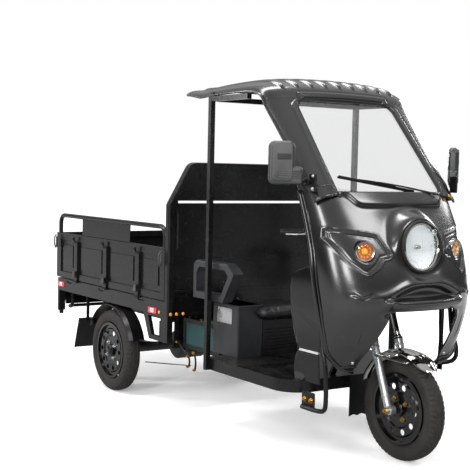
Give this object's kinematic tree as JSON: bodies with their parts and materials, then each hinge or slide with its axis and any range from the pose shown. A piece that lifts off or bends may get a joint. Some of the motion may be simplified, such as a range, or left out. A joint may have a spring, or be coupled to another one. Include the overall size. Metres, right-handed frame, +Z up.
{
  "type": "electric cargo tricycle",
  "caption": "Three-wheeled electric cargo tricycle with an open-sided moulded cab, windscreen, handlebar steering and a tipping bed with drop sides.",
  "frame": {"origin": "on the ground under the middle of the vehicle", "axes": "+X forward, +Y to the vehicle's left, +Z up"},
  "size_m": [3.037, 1.2318, 1.8202],
  "materials": {
    "tyre": "black rubber tyre",
    "rim": "gloss black enamelled pressed steel",
    "frame": "satin black powder-coated steel",
    "sheet": "satin black painted sheet steel",
    "shell": "satin black moulded plastic",
    "inner": "grained dark grey plastic",
    "grey": "textured grey plastic",
    "chrome": "chrome-plated steel",
    "alloy": "bare cast aluminium",
    "glass": "clear windscreen glass",
    "lens": "clear faceted lamp lens",
    "amber": "amber lamp plastic",
    "vinyl": "black seat vinyl",
    "teal": "teal battery case",
    "rubber": "black rubber sheet",
    "steel": "plain steel",
    "cast": "painted casting"
  },
  "bodies": {
    "chassis": {"main_frame": "frame", "rear_axle": "cast", "drive_motor": "cast", "leaf_springs": "frame", "cab_floor": "frame", "front_flap": "rubber", "seat_base": "inner", "side_box": "grey", "arm_loops": "grey", "seat_cushion": "vinyl", "battery_packs": "teal", "battery_frames": "frame", "cab_frame": "frame", "nose_shell": "shell", "cab_top": "shell", "windscreen": "glass", "headlamp_bezel": "shell", "headlamp_lens": "lens", "indicators": "amber", "mirrors": "inner", "leg_shield": "inner", "side_tubes": "frame"},
    "steering": {"fork_sliders": "alloy", "fork_crown": "chrome", "front_axle": "steel", "handlebar": "frame", "front_fender": "chrome"},
    "front_wheel": {"tyre_front": "tyre", "rim_front": "rim"},
    "rear_wheel_right": {"tyre_rear_right": "tyre", "rim_rear_right": "rim"},
    "rear_wheel_left": {"tyre_rear_left": "tyre", "rim_rear_left": "rim"},
    "bed": {"bed_floor": "sheet", "headboard": "sheet", "rear_board": "sheet", "rear_bumper": "frame", "bed_fenders": "frame", "rear_flaps": "rubber"},
    "side_right": {"side_gate_right": "sheet"},
    "side_left": {"side_gate_left": "sheet"},
    "tailgate": {"tailgate_panel": "sheet"},
    "ram_cylinder": {"ram_barrel": "frame"},
    "ram_piston": {"ram_rod": "chrome"}
  },
  "joints": [
    {"name": "steer", "type": "hinge", "parent": "chassis", "child": "steering", "pos_m": [1.02998, 0, 0.7], "axis": [-0.3518, 0, 0.9361], "range_deg": [-40, 40]},
    {"name": "front_wheel_spin", "type": "hinge", "parent": "steering", "child": "front_wheel", "pos_m": [1.261, 0, 0.245], "axis": [0, 1, 0], "continuous": true},
    {"name": "rear_right_spin", "type": "hinge", "parent": "chassis", "child": "rear_wheel_right", "pos_m": [-0.755, -0.469, 0.245], "axis": [0, 1, 0], "continuous": true},
    {"name": "rear_left_spin", "type": "hinge", "parent": "chassis", "child": "rear_wheel_left", "pos_m": [-0.755, 0.469, 0.245], "axis": [0, 1, 0], "continuous": true},
    {"name": "bed_tip", "type": "hinge", "parent": "chassis", "child": "bed", "pos_m": [-1.29, 0, 0.523], "axis": [0, -1, 0], "range_deg": [0, 45]},
    {"name": "tailgate_drop", "type": "hinge", "parent": "bed", "child": "tailgate", "pos_m": [-1.523, 0, 0.614], "axis": [0, -1, 0], "range_deg": [0, 160]},
    {"name": "side_right_drop", "type": "hinge", "parent": "bed", "child": "side_right", "pos_m": [-0.795, -0.53, 0.614], "axis": [1, 0, 0], "range_deg": [0, 175]},
    {"name": "side_left_drop", "type": "hinge", "parent": "bed", "child": "side_left", "pos_m": [-0.795, 0.53, 0.614], "axis": [-1, 0, 0], "range_deg": [0, 175]},
    {"name": "ram_swing", "type": "hinge", "parent": "chassis", "child": "ram_cylinder", "pos_m": [-0.33, 0, 0.322], "axis": [0, 1, 0], "range_deg": [0, 18.05]},
    {"name": "ram_extend", "type": "slide", "parent": "ram_cylinder", "child": "ram_piston", "axis": [-0.953, 0, 0.3029], "range_m": [0, 0.224]}
  ],
  "couplings": [
    {"joint": "ram_swing", "follows": "bed_tip", "ratio": 0.39213},
    {"joint": "ram_extend", "follows": "bed_tip", "m_per_rad": 0.28262}
  ]
}
